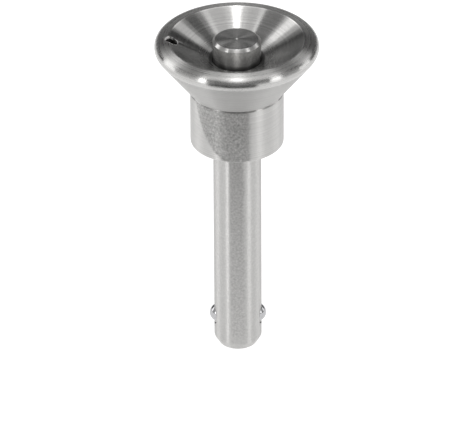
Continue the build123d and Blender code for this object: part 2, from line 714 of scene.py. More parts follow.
@dataclass(frozen=True)
class TurnedSteel:
    """Satin stainless steel with fine tool marks round Z.

    Attributes:
        name: The material's name.
        colour: Its colour.
        roughness: Its mean roughness.
        stretch: How far the marks draw highlights out across them, from 0 to 1.
        mark_pitch: Distance from one tool mark to the next.
        mark_depth: Height of the marks' bump.
        areas: Parts with a roughness and a tone of their own.
        mark_contrast: How much the marks change the roughness.
        mark_tone: How much the marks change the colour.
        mottle_depth: Height of the fine, uneven bump that follows no direction.
        mottle_tone: How much that unevenness changes the colour.
        haze: How much it changes the roughness.
        stain_tone: How much broad, faint stains change the colour.
        stain_haze: How much they change the roughness.
    """

    name: str
    colour: Colour
    roughness: float
    stretch: float
    mark_pitch: float
    mark_depth: float
    areas: Tuple[Area, ...] = ()
    mark_contrast: float = 0.08
    mark_tone: float = 0.10
    mottle_depth: float = 1.5e-6
    mottle_tone: float = 0.16
    haze: float = 0.06
    stain_tone: float = 0.14
    stain_haze: float = 0.10

    def material(self) -> bpy.types.Material:
        """Make the finish.

        Returns:
            The material.
        """
        bench = Bench(self.name)
        place = bench.place()
        marks = bench.noise(place.across_marks(), 1 / self.mark_pitch, detail=2.0) - NOISE_MEAN
        mottle = bench.noise(place.spot, MOTTLES_PER_METRE, detail=3.0) - NOISE_MEAN
        stains = bench.noise(place.spot, STAINS_PER_METRE, detail=2.0) - NOISE_MEAN
        roughness: Value = self.roughness
        tone: Value = 1.0
        grain: Value = 1.0
        dulled: Value = 0.0
        for area in self.areas:
            inside = area.mask(place)
            roughness = roughness * (1 - inside) + inside * area.roughness
            tone = tone * (1 - inside) + inside * area.tone
            grain = grain * (1 - inside) + inside * area.grain
            dulled = dulled * (1 - inside) + inside * area.dulled
        tone = tone * (
            1 + marks * self.mark_tone + grain * mottle * self.mottle_tone + stains * self.stain_tone
        )
        relief = marks * self.mark_depth + mottle * self.mottle_depth
        return bench.finish({
            "Base Color": bench.mix(tone * (1 / TONE_ROOM), BLACK, shade(self.colour, TONE_ROOM)),
            "Metallic": 1 - dulled,
            "Roughness": (
                roughness + marks * self.mark_contrast + mottle * self.haze + stains * self.stain_haze
            ),
            "Anisotropic": self.stretch,
            "Anisotropic Rotation": QUARTER_TURN,
            "Normal": bench.bump(relief, strength=1.0, distance=1.0),
        })


@dataclass(frozen=True)
class PolishedChrome:
    """Hard chrome with faint polishing swirls.

    Attributes:
        name: The material's name.
        colour: Its colour.
        roughness: Its roughness at the swirls' level.
        swirls_per_metre: How fine the swirls are.
        swirl_level: Value of the swirls that leaves the roughness as it is.
        haze: How much the swirls change the roughness.
        tones: Lightness of the colour from the least swirl to the greatest.
        swirl_strength: How much of the swirls' relief shows.
        swirl_depth: Height of that relief.
    """

    name: str
    colour: Colour
    roughness: float
    swirls_per_metre: float = 2500.0
    swirl_level: float = 0.4
    haze: float = 0.05
    tones: Tuple[float, float] = (0.97, 1.03)
    swirl_strength: float = 0.4
    swirl_depth: float = 1e-7

    def material(self) -> bpy.types.Material:
        """Make the finish.

        Returns:
            The material.
        """
        bench = Bench(self.name)
        swirls = bench.noise(bench.place().spot, self.swirls_per_metre, detail=4.0)
        roughness = (swirls - self.swirl_level) * self.haze + self.roughness
        colour = bench.mix(swirls, *(shade(self.colour, tone) for tone in self.tones))
        normal = bench.bump(swirls, self.swirl_strength, self.swirl_depth)
        return bench.finish({
            "Base Color": colour, "Metallic": 1.0, "Roughness": roughness, "Normal": normal,
        })


@dataclass(frozen=True)
class DrawnWire:
    """Spring wire with drawing scratches.

    Attributes:
        name: The material's name.
        colour: Its colour.
        roughness: Its mean roughness.
        scratches_per_metre: How fine the scratches are.
        stains_per_metre: How fine the stains are.
        haze: How much the scratches change the roughness.
        tones: Lightness of the colour from the least stain to the greatest.
        scratch_depth: Height of the scratches' relief.
    """

    name: str
    colour: Colour
    roughness: float
    scratches_per_metre: float = 9000.0
    stains_per_metre: float = 700.0
    haze: float = 0.12
    tones: Tuple[float, float] = (0.85, 1.1)
    scratch_depth: float = 2e-6

    def material(self) -> bpy.types.Material:
        """Make the finish.

        Returns:
            The material.
        """
        bench = Bench(self.name)
        place = bench.place()
        scratches = bench.noise(place.across_marks(), self.scratches_per_metre, detail=2.0)
        stains = bench.noise(place.spot, self.stains_per_metre)
        roughness = (scratches - NOISE_MEAN) * self.haze + self.roughness
        colour = bench.mix(stains, *(shade(self.colour, tone) for tone in self.tones))
        normal = bench.bump(scratches, strength=1.0, distance=self.scratch_depth)
        return bench.finish({
            "Base Color": colour, "Metallic": 1.0, "Roughness": roughness, "Normal": normal,
        })


@dataclass(frozen=True)
class WhiteTable:
    """Matt white table top.

    Attributes:
        name: The material's name.
        colour: Its colour.
        glow: Light that it gives off by itself.
        fibres_per_metre: How fine its unevenness is.
        least_tone: Lightness of its darkest parts.
        roughness: Its roughness.
        sheen: How strongly it mirrors.
    """

    name: str
    colour: Colour
    glow: float
    fibres_per_metre: float = 300.0
    least_tone: float = 0.995
    roughness: float = 0.9
    sheen: float = 0.1

    def material(self) -> bpy.types.Material:
        """Make the finish.

        Returns:
            The material.
        """
        bench = Bench(self.name)
        fibres = bench.noise(bench.place().spot, self.fibres_per_metre)
        colour = bench.mix(fibres, shade(self.colour, self.least_tone), self.colour)
        return bench.finish({
            "Base Color": colour, "Roughness": self.roughness, "Specular IOR Level": self.sheen,
            "Emission Color": WHITE, "Emission Strength": self.glow,
        })


# Pieces of the pin

def clothe(piece: bpy.types.Object, material: bpy.types.Material) -> None:
    """Give a piece its material.

    Args:
        piece: The piece.
        material: Its material.
    """
    piece.data.materials.clear()
    piece.data.materials.append(material)


@dataclass
class Handle:
    """Collar, flare, rounded rim and thumb dish, turned in one piece.

    Attributes:
        collar_radius: Radius of the plain collar.
        collar_length: Height of the collar.
        collar_round: Round at the collar's foot.
        root_groove: Depth of the fine groove between collar and flare.
        rim_round: Round of the rim.
        rim_slope: Angle at which the ring round the dish falls away outwards.
        dish_radius: Radius of the dish at its edge.
        dish_depth: Depth of the dish.
        dish_edge_round: Round at the edge of the dish.
        bore_radius: Radius of the bore that the button slides in.
        bore_edge_round: Round at the mouth of that bore.
        spigot_bore_radius: Radius of the bore that the shank is pressed into.
        mouth_radius: Radius of the clearance ring round the shank.
        mouth_depth: Depth of that ring.
        lanyard_radius: Distance of the lanyard hole from Z.
        lanyard_hole_radius: Radius of the lanyard hole.
        lanyard_round: Round at its edges.
    """

    collar_radius: float = 0.0097
    collar_length: float = 0.0121
    collar_round: float = 0.00038
    root_groove: float = 0.0002
    rim_round: float = 0.0015
    rim_slope: float = math.radians(9)
    dish_radius: float = 0.0140
    dish_depth: float = 0.0048
    dish_edge_round: float = 0.0003
    bore_radius: float = 0.0051
    bore_edge_round: float = 0.00008
    spigot_bore_radius: float = 0.00449
    mouth_radius: float = 0.00535
    mouth_depth: float = 0.0010
    lanyard_radius: float = 0.0134
    lanyard_hole_radius: float = 0.0013
    lanyard_round: float = 0.00018
    foot: float = field(init=False)
    top: float = field(init=False)
    rim_radius: float = field(init=False)

    def __post_init__(self) -> None:
        """Read the handle's reach from the frame."""
        low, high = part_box("handle")
        self.foot, self.top, self.rim_radius = low.z, high.z, high.x

    @property
    def flare_root(self) -> float:
        """Height where the flare leaves the collar."""
        return self.foot + self.collar_length

    def rim_corner(self) -> Corner:
        """Corner where the flare's cone would meet the sloping ring round the dish.

        Returns:
            The corner, which the rim's round fills out to the rim's radius.
        """
        ring_width = self.rim_radius - self.rim_round - self.dish_radius
        fall = (self.rim_round + ring_width * math.sin(self.rim_slope)) / math.cos(self.rim_slope)
        across = self.rim_radius - self.rim_round - self.collar_radius
        up = self.top - fall - self.flare_root
        flare = math.tan(math.atan2(up, across) - math.asin(self.rim_round / math.hypot(across, up)))
        ring = math.tan(self.rim_slope)
        rise = self.top - self.flare_root + (self.dish_radius - self.collar_radius) * ring
        radius = self.collar_radius + rise / (flare + ring)
        return Corner(radius, self.top - (radius - self.dish_radius) * ring, self.rim_round)

    def corners(self) -> List[Corner]:
        """Corners of the handle's section.

        Returns:
            The corners from the collar's foot out, round the dish and back through the bores.
        """
        shoulder = self.foot + self.mouth_depth
        shank_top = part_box("shank")[1].z
        return [
            Corner(self.mouth_radius, self.foot, self.bore_edge_round),
            Corner(self.collar_radius, self.foot, self.collar_round),
            Corner(self.collar_radius, self.flare_root - 1.5 * self.root_groove, self.root_groove / 2),
            Corner(self.collar_radius - self.root_groove, self.flare_root - self.root_groove / 2),
            Corner(self.collar_radius, self.flare_root + self.root_groove / 2),
            self.rim_corner(),
            Corner(self.dish_radius, self.top, self.dish_edge_round),
            Corner(self.bore_radius, self.top - self.dish_depth, self.bore_edge_round),
            Corner(self.bore_radius, shank_top),
            Corner(self.spigot_bore_radius, shank_top),
            Corner(self.spigot_bore_radius, shoulder),
            Corner(self.mouth_radius, shoulder),
        ]

    def on_lanyard_edge(self, place: Vector) -> bool:
        """Says whether a place is on the wall of the lanyard hole."""
        gap = math.hypot(place.x + self.lanyard_radius, place.y) - self.lanyard_hole_radius
        return abs(gap) < ON_WALL

    def build(self) -> bpy.types.Object:
        """Turn the handle, drill the lanyard hole and dress the piece.

        Returns:
            The piece.
        """
        piece = turned("handle_turned", rounded(self.corners(), True), True)
        above = 2 * self.top
        drill_profile = [
            (0, self.flare_root), (self.lanyard_hole_radius, self.flare_root),
            (self.lanyard_hole_radius, above), (0, above),
        ]
        drill = turned("lanyard_drill", drill_profile, False, CUTTER_ROUNDS)
        drill.data.transform(Matrix.Translation((-self.lanyard_radius, 0, 0)))
        cut_away(piece, [drill])
        soften_edges(piece, self.on_lanyard_edge, self.lanyard_round, steps=3)
        self.dress(piece)
        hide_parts("handle")
        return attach(piece, Body.PIN.value)

    def dress(self, piece: bpy.types.Object) -> None:
        """Give the handle its turned finish.

        Args:
            piece: The piece.
        """
        # A band runs past the surface, to be whole there, and starts inset from its neighbour.
        past, inset = 0.0003, 0.0001
        floor = self.top - self.dish_depth
        collar_side = Band(
            roughness=0.38, tone=1.05, radii=(self.collar_radius - 0.0006, self.collar_radius + past),
            heights=(self.foot - 0.0005, self.flare_root), fade=0.0002,
        )
        matt_patch = MattPatch(
            roughness=0.6, tone=0.97, grain=9.0, dulled=0.55, heights=(self.foot, self.flare_root),
            left=math.radians(-62), curve=0.4, right=math.radians(20),
            crisp=math.radians(3), fade=math.radians(14),
        )
        flare = Band(
            roughness=0.45, tone=0.95, grain=0.7, dulled=0.6,
            radii=(self.collar_radius - inset, self.rim_radius),
            heights=(self.flare_root - inset, self.top - 0.0028), fade=0.0003,
        )
        rim = Band(
            roughness=0.27, grain=0.8, radii=(self.dish_radius + inset, self.rim_radius + past),
            heights=(self.top - 0.0032, self.top + past), fade=0.0003,
        )
        ring = Band(
            roughness=0.30, tone=1.12,
            radii=(self.dish_radius + inset, self.rim_radius - self.rim_round + 0.0006),
            heights=(self.top - 0.0008, self.top + past), fade=0.0003,
        )
        dish = Band(
            roughness=0.20, tone=0.84, radii=(self.bore_radius, self.dish_radius - inset),
            heights=(floor - 0.0010, self.top + past), fade=0.0003,
        )
        # Painted shade: the dish is coloured darker towards the button, with a long fade.
        dish_floor_painted_shade = Band(
            roughness=0.27, tone=0.5, radii=(self.bore_radius - 0.0025, self.bore_radius + 0.0040),
            heights=(floor - 0.0030, self.top), fade=0.0024,
        )
        # Painted shade: a dark ring in the foot of the dish, where it meets the button.
        dish_foot_painted_shade = Band(
            roughness=0.5, tone=0.24, radii=(self.bore_radius - 0.0004, self.bore_radius + 0.0009),
            heights=(floor - 0.0006, floor + 0.0012), fade=0.0004,
        )
        dish_edge = WornEdge(
            roughness=0.2, tone=1.3, radius=self.dish_radius, height=self.top, reach=0.0004,
        )
        collar_edge = WornEdge(
            roughness=0.3, tone=1.2, radius=self.collar_radius, height=self.foot, reach=0.0006,
        )
        hole = {
            "axis_x": -self.lanyard_radius, "hole_radius": self.lanyard_hole_radius,
            "dish_edge": (self.dish_radius, self.top),
            "dish_slope": self.dish_depth / (self.dish_radius - self.bore_radius),
        }
        # Painted highlight: a broken ring round the lanyard hole's mouth, coloured much lighter and less
        # metallic.
        lanyard_painted_highlight = PaintedHoleHighlight(
            roughness=0.4, tone=1.85, dulled=0.75, past_wall=0.00022, depths=(-0.001, -0.0005), **hole,
        )
        # Painted shade: the lanyard hole's wall is coloured nearly black from a little below its mouth down.
        lanyard_wall_painted_shade = DrilledWall(
            roughness=0.6, tone=0.08, past_wall=0.00006, depths=(0.0004, 0.0006), **hole,
        )
        areas = (
            collar_side, matt_patch, flare, rim, ring, dish, dish_floor_painted_shade, dish_foot_painted_shade, dish_edge, collar_edge,
            lanyard_painted_highlight, lanyard_wall_painted_shade,
        )
        finish = TurnedSteel(
            "handle_steel", shade(STAINLESS, 0.92), roughness=0.22, stretch=0.93, mark_pitch=0.00026,
            mark_depth=1.9e-6, areas=areas, mark_contrast=0.14, mark_tone=0.45, mottle_depth=0.6e-6,
        )
        clothe(piece, finish.material())


@dataclass
class Shank:
    """Hollow ground pin with its lead-in taper, ball mouths and spigot.

    Attributes:
        radius: Radius of the ground pin.
        taper_width: How far the lead-in taper narrows the tip.
        taper_length: Height of the lead-in taper.
        taper_round: Round where the taper leaves the pin.
        tip_round: Round at the edge of the tip.
        bore_radius: Radius of the bore that the spindle runs in.
        bore_round: Round at its mouth.
        spring_bore_radius: Radius of the bore for the spring.
        spring_seat: Height of the shelf that the spring stands on.
        spigot_radius: Radius of the end that is pressed into the handle.
        undercut: Depth of the grinding undercut at the shoulder.
        shoulder_rise: Height of the shoulder above the collar's foot.
        ball_gap: Gap round each ball in its mouth.
        stake_lip: Width of the lip round each mouth.
        stake_width: Width of the ring struck round the lip.
        stake_depth: Depth of the ring's floor below the pin's side.
    """

    radius: float = 0.0050
    taper_width: float = 0.0010
    taper_length: float = 0.0017
    taper_round: float = 0.0012
    tip_round: float = 0.00022
    bore_radius: float = 0.002248
    bore_round: float = 0.0002
    spring_bore_radius: float = 0.003498
    spring_seat: float = 0.0440
    spigot_radius: float = 0.0045
    undercut: float = 0.0002
    shoulder_rise: float = 0.0010
    ball_gap: float = 0.00004
    stake_lip: float = 0.00008
    stake_width: float = 0.00036
    stake_depth: float = 0.0004
    top: float = field(init=False)
    collar: float = field(init=False)
    ball_radius: float = field(init=False)
    ball_place: Vector = field(init=False)

    def __post_init__(self) -> None:
        """Read the shank's height, the collar and the ball from the frame."""
        self.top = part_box("shank")[1].z
        self.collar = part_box("handle")[0].z
        low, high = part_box("ball_right")
        self.ball_place = (low + high) / 2
        self.ball_radius = (high.z - low.z) / 2

    def corners(self) -> List[Corner]:
        """Corners of the shank's section.

        Returns:
            The corners from the bore's mouth out, up the pin and back through the bores.
        """
        shoulder = self.collar + self.shoulder_rise
        return [
            Corner(self.bore_radius, 0, self.bore_round),
            Corner(self.radius - self.taper_width, 0, self.tip_round),
            Corner(self.radius, self.taper_length, self.taper_round),
            Corner(self.radius, self.collar),
            Corner(self.radius - self.undercut, self.collar + self.undercut),
            Corner(self.radius - self.undercut, shoulder),
            Corner(self.spigot_radius, shoulder),
            Corner(self.spigot_radius, self.top, self.undercut),
            Corner(self.spring_bore_radius, self.top),
            Corner(self.spring_bore_radius, self.spring_seat),
            Corner(self.bore_radius, self.spring_seat),
        ]

    def ball_cutters(self, side: int) -> List[bpy.types.Object]:
        """Cutters for one ball's pocket and the ring staked round its mouth.

        Args:
            side: 1 for the +X side, -1 for the -X side.

        Returns:
            The cutters in place.
        """
        pocket_radius = self.ball_radius + self.ball_gap
        ball_out = self.ball_place.x
        outside = 2 * self.radius
        quarter = [math.pi / 2 * step / QUARTER_STEPS for step in range(QUARTER_STEPS + 1)]
        seat = [(pocket_radius * math.cos(a), ball_out + pocket_radius * math.sin(a)) for a in quarter]
        profile = [(0, 0), (pocket_radius, 0), *seat[:-1], (0, ball_out + pocket_radius)]
        pocket = turned("pocket", profile, False, CUTTER_ROUNDS)
        inner = pocket_radius + self.stake_lip
        outer = inner + self.stake_width
        floor = self.radius - self.stake_depth
        ring = [(inner, floor), (outer, floor), (outer, outside), (inner, outside)]
        stake = turned("stake", ring, True, CUTTER_ROUNDS)
        lying = Matrix.Translation((0, 0, self.ball_place.z)) @ Matrix.Rotation(side * math.pi / 2, 4, "Y")
        for cutter in (pocket, stake):
            cutter.data.transform(lying)
        return [pocket, stake]

    def build(self) -> bpy.types.Object:
        """Turn the shank, cut the ball pockets and dress the piece.

        Returns:
            The piece.
        """
        piece = turned("shank_ground", rounded(self.corners(), True), True)
        cut_away(piece, self.ball_cutters(1) + self.ball_cutters(-1))
        piece.data.set_sharp_from_angle(angle=SHARP_ANGLE)
        self.dress(piece)
        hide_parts("shank")
        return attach(piece, Body.PIN.value)

    def dress(self, piece: bpy.types.Object) -> None:
        """Give the shank its ground finish.

        Args:
            piece: The piece.
        """
        worn = WornEdge(
            roughness=0.3, tone=1.2, radius=self.radius - self.taper_width, height=0, reach=0.0006,
        )
        stripe = MattPatch(
            roughness=0.45, tone=1.03, grain=2.1, dulled=0.3, heights=(2 * self.taper_length, self.collar),
            left=math.radians(-19), curve=0.0, right=math.radians(24),
            crisp=math.radians(7), fade=math.radians(13),
        )
        finish = TurnedSteel(
            "shank_steel", STAINLESS, roughness=0.38, stretch=0.97, mark_pitch=0.00022,
            mark_depth=0.8e-6, areas=(worn, stripe), mottle_depth=0.5e-6, mottle_tone=0.4,
        )
        clothe(piece, finish.material())


@dataclass
class Button:
    """Push button with a centre mark, a spring pocket and a hole for the spindle's stud.

    Attributes:
        radius: Radius of the button.
        top_break: Chamfer at its top edge.
        edge_round: Small round on the chamfer's edges.
        foot_break: Round at its foot.
        mark_radius: Radius of the centre mark.
        mark_round: Round at the mark's edge.
        pocket_radius: Radius of the pocket for the spring.
        pocket_depth: Depth of that pocket.
        stud_radius: Radius of the hole for the stud.
        crown: Thickness of metal over that hole.
    """

    radius: float = 0.0050
    top_break: float = 0.00055
    edge_round: float = 0.00012
    foot_break: float = 0.0003
    mark_radius: float = 0.00025
    mark_round: float = 0.00003125
    pocket_radius: float = 0.003498
    pocket_depth: float = 0.0015
    stud_radius: float = 0.00159
    crown: float = 0.0030
    foot: float = field(init=False)
    top: float = field(init=False)

    def __post_init__(self) -> None:
        """Read the button's reach from the frame."""
        low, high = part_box("button")
        self.foot, self.top = low.z, high.z

    def corners(self) -> List[Corner]:
        """Corners of the button's section.

        Returns:
            The corners from the stud hole out, up the side and in to the centre mark.
        """
        ceiling = self.foot + self.pocket_depth
        return [
            Corner(0, self.top - self.crown),
            Corner(self.stud_radius, self.top - self.crown),
            Corner(self.stud_radius, ceiling),
            Corner(self.pocket_radius, ceiling),
            Corner(self.pocket_radius, self.foot),
            Corner(self.radius, self.foot, self.foot_break),
            Corner(self.radius, self.top - self.top_break, self.edge_round),
            Corner(self.radius - self.top_break, self.top, self.edge_round),
            Corner(self.mark_radius, self.top, self.mark_round),
            Corner(0, self.top - self.mark_radius),
        ]

    def build(self) -> bpy.types.Object:
        """Turn the button and dress it.

        Returns:
            The piece.
        """
        piece = turned("button_turned", rounded(self.corners(), False), False)
        self.dress(piece)
        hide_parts("button")
        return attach(piece, Body.PLUNGER.value)

    def dress(self, piece: bpy.types.Object) -> None:
        """Give the button its faced finish.

        Args:
            piece: The piece.
        """
        # A band runs past the surface by this margin, to be whole there.
        margin = 0.0001
        inner = self.radius - self.top_break
        shoulder = self.top - self.top_break
        # Painted shade: the button's side is coloured darker than its top.
        side = Band(
            roughness=0.22, tone=0.68, grain=3.0, radii=(self.radius - 0.0002, self.radius + 0.0002),
            heights=(self.foot, shoulder), fade=0.0001,
        )
        edge = Band(
            roughness=0.3, tone=0.95, grain=0.5, radii=(inner - margin, self.radius + margin),
            heights=(shoulder - margin, self.top + margin), fade=0.0001,
        )
        face = Band(
            roughness=0.19, radii=(-margin, inner),
            heights=(self.top - margin, self.top + margin), fade=0.00005,
        )
        finish = TurnedSteel(
            "button_steel", STAINLESS, roughness=0.24, stretch=0.90, mark_pitch=0.00028,
            mark_depth=1.0e-6, areas=(side, edge, face), mark_tone=0.2,
        )
        clothe(piece, finish.material())


@dataclass
class Spindle:
    """Rod with the cam that drives the balls, and the stud that holds the button.

    Attributes:
        radius: Radius of the rod.
        neck_radius: Radius of the neck that lets the balls in.
        land_radius: Radius of the land that holds the balls out.
        end_round: Round at both ends.
        stud_radius: Radius of the stud.
        flange_height: Height of the stop flange.
        land_above_ball: How far the land runs past the balls' centres.
        ramp_length: Height of the cam's ramp.
        neck_top: Height of the neck's top above the balls' centres.
        stud_length: Height of the stud.
    """

    radius: float = 0.002198
    neck_radius: float = 0.0009
    land_radius: float = 0.001868
    end_round: float = 0.0003
    stud_radius: float = 0.0016
    flange_height: float = 0.0014
    land_above_ball: float = 0.0002
    ramp_length: float = 0.003872
    neck_top: float = 0.0048
    stud_length: float = 0.00815
    foot: float = field(init=False)
    top: float = field(init=False)
    ball_height: float = field(init=False)

    def __post_init__(self) -> None:
        """Read the spindle's reach and the balls' height from the frame."""
        low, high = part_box("spindle")
        self.foot, self.top = low.z, high.z
        ball_low, ball_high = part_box("ball_right")
        self.ball_height = (ball_low.z + ball_high.z) / 2

    def corners(self) -> List[Corner]:
        """Corners of the spindle's section.

        Returns:
            The corners from the foot's centre out, up the cam and the rod, and in over the stud.
        """
        flange_top = self.foot + self.flange_height
        land_top = self.ball_height + self.land_above_ball
        neck_top = self.ball_height + self.neck_top
        ceiling = self.top - self.stud_length
        return [
            Corner(0, self.foot),
            Corner(self.radius, self.foot, self.end_round),
            Corner(self.radius, flange_top),
            Corner(self.land_radius, flange_top + self.radius - self.land_radius),
            Corner(self.land_radius, land_top),
            Corner(self.neck_radius, land_top + self.ramp_length),
            Corner(self.neck_radius, neck_top),
            Corner(self.radius, neck_top + self.radius - self.neck_radius),
            Corner(self.radius, ceiling),
            Corner(self.stud_radius, ceiling),
            Corner(self.stud_radius, self.top, self.end_round),
            Corner(0, self.top),
        ]

    def build(self) -> bpy.types.Object:
        """Turn the spindle and dress it.

        Returns:
            The piece.
        """
        piece = turned("spindle_turned", rounded(self.corners(), False), False, SPINDLE_ROUNDS)
        finish = TurnedSteel(
            "spindle_steel", shade(STAINLESS, 0.9), roughness=0.32, stretch=0.6, mark_pitch=0.00025,
            mark_depth=1.0e-6,
        )
        clothe(piece, finish.material())
        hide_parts("spindle")
        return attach(piece, Body.PLUNGER.value)


@dataclass
class ReturnSpring:
    """Round-wire helical spring with closed ends ground flat.

    Attributes:
        wire_radius: Radius of the wire.
        mean_radius: Radius of the helix.
        open_turns: How many turns are open.
        closed_rise: Rise of the closed turn at each end.
        wire_sides: How many faces go round the wire.
        steps_per_turn: How many faces go along one turn.
    """

    wire_radius: float = 0.0003
    mean_radius: float = 0.002798
    open_turns: float = 4.5
    closed_rise: float = 0.00064
    wire_sides: int = 20
    steps_per_turn: int = 72
    foot: float = field(init=False)
    top: float = field(init=False)

    def __post_init__(self) -> None:
        """Read the spring's reach from the frame."""
        low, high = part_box("return_spring")
        self.foot, self.top = low.z, high.z

    def height_at(self, turn: float) -> float:
        """Height of the wire's centre after a number of turns.

        Args:
            turn: Turns from the lower end.

        Returns:
            The height.
        """
        open_rise = self.top - self.foot - 2 * self.closed_rise
        if turn < 1:
            return self.foot + self.closed_rise * turn
        if turn < 1 + self.open_turns:
            return self.foot + self.closed_rise + open_rise * (turn - 1) / self.open_turns
        return self.top - self.closed_rise * (2 + self.open_turns - turn)

    def build(self) -> bpy.types.Object:
        """Wind the spring, grind its ends, dress it and give it a mesh of its own.

        Returns:
            The piece.
        """
        shape = bmesh.new()
        total_turns = self.open_turns + 2
        steps = round(total_turns * self.steps_per_turn)
        loops: List[List[bmesh.types.BMVert]] = []
        for step in range(steps + 1):
            turn = total_turns * step / steps
            spin = Matrix.Rotation(2 * math.pi * turn, 3, "Z")
            loop = []
            for side in range(self.wire_sides):
                around = 2 * math.pi * side / self.wire_sides
                out = self.mean_radius + self.wire_radius * math.cos(around)
                up = self.height_at(turn) + self.wire_radius * math.sin(around)
                ground = min(max(up, self.foot), self.top)
                loop.append(shape.verts.new(spin @ Vector((out, 0, ground))))
            loops.append(loop)
        for near, far in zip(loops, loops[1:]):
            for side in range(self.wire_sides):
                onward = (side + 1) % self.wire_sides
                shape.faces.new([near[side], near[onward], far[onward], far[side]])
        shape.faces.new(loops[0])
        shape.faces.new(loops[-1])
        piece = finished_object("spring_wound", shape)
        finish = DrawnWire("spring_steel", shade(STAINLESS, 0.85), roughness=0.3)
        clothe(piece, finish.material())
        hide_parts("return_spring")
        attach(piece, Body.PIN.value)
        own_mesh(piece)
        return piece


@dataclass
class Ball:
    """Polished locking ball.

    Attributes:
        node: The frame's node that it stands for.
        body: The body that it rides on.
        steps: How many faces run from pole to pole.
    """

    node: str
    body: Body
    steps: int = 64

    def build(self) -> bpy.types.Object:
        """Turn the ball, put it in its mouth and dress it.

        Returns:
            The piece.
        """
        low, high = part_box(self.node)
        centre = (low + high) / 2
        radius = (high.z - low.z) / 2
        arc = [math.pi * (step / self.steps - 0.5) for step in range(1, self.steps)]
        profile = [(0, -radius)] + [(radius * math.cos(a), radius * math.sin(a)) for a in arc] + [(0, radius)]
        piece = turned(self.node + "_polished", profile, False, 2 * self.steps)
        piece.data.transform(Matrix.Translation(centre))
        finish = PolishedChrome(self.node + "_chrome", CHROME, roughness=0.05)
        clothe(piece, finish.material())
        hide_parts(self.node)
        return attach(piece, self.body.value)


# Studio

@dataclass(frozen=True)
class LightPanel:
    """A curved soft light, hung by the streaks that it makes on the turned metal.

    Metal turned round Z mirrors a whole arc of the studio along each line of its side. That arc
    runs from low behind the pin over its head to low in front of it, so a panel is given by the
    streaks that it makes and by its reach along their arcs.

    Attributes:
        name: Its name.
        streaks: Degrees round Z, from behind the pin towards +X, between which its streak lies.
        reach: Degrees along the arc, from 0 low behind over 90 overhead to 180 low in front.
        distance: Distance from the pin's head.
        brightness: Brightness of its face.
    """

    name: str
    streaks: Tuple[float, float]
    reach: Tuple[float, float]
    distance: float
    brightness: float

    def direction(self, streak: float, swing: float, view: float) -> Vector:
        """Direction that a streak mirrors into the camera.

        Args:
            streak: The streak's azimuth.
            swing: How far the metal's slope has swung the view along the arc.
            view: The camera's elevation, in radians.

        Returns:
            The direction from the pin.
        """
        around, along = math.radians(streak), math.radians(swing)
        across = Vector((math.cos(around), -math.sin(around), 0))
        outward = Vector((math.sin(around), math.cos(around), 0))
        share = -math.cos(view) * math.sin(around)
        arc = outward * math.cos(along) + Vector((0, 0, math.sin(along)))
        return across * share + arc * math.sqrt(1 - share * share)

    def build(self, aim: Vector, view: float) -> bpy.types.Object:
        """Hang the panel.

        Args:
            aim: The point that it bends round.
            view: The camera's elevation, in radians.

        Returns:
            The panel.
        """
        shape = bmesh.new()
        rows = []
        for step in range(PANEL_STEPS + 1):
            streak = self.streaks[0] + (self.streaks[1] - self.streaks[0]) * step / PANEL_STEPS
            row = []
            for stride in range(PANEL_STEPS + 1):
                swing = self.reach[0] + (self.reach[1] - self.reach[0]) * stride / PANEL_STEPS
                row.append(shape.verts.new(aim + self.direction(streak, swing, view) * self.distance))
            rows.append(row)
        for near, far in zip(rows, rows[1:]):
            for stride in range(PANEL_STEPS):
                shape.faces.new([near[stride], near[stride + 1], far[stride + 1], far[stride]])
        panel = finished_object(self.name, shape)
        bench = Bench(self.name + "_glow")
        bench.node_output(bench.node("ShaderNodeEmission", {}, {"Strength": self.brightness}))
        panel.data.materials.append(bench.material)
        panel.visible_camera = False
        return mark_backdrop(panel)


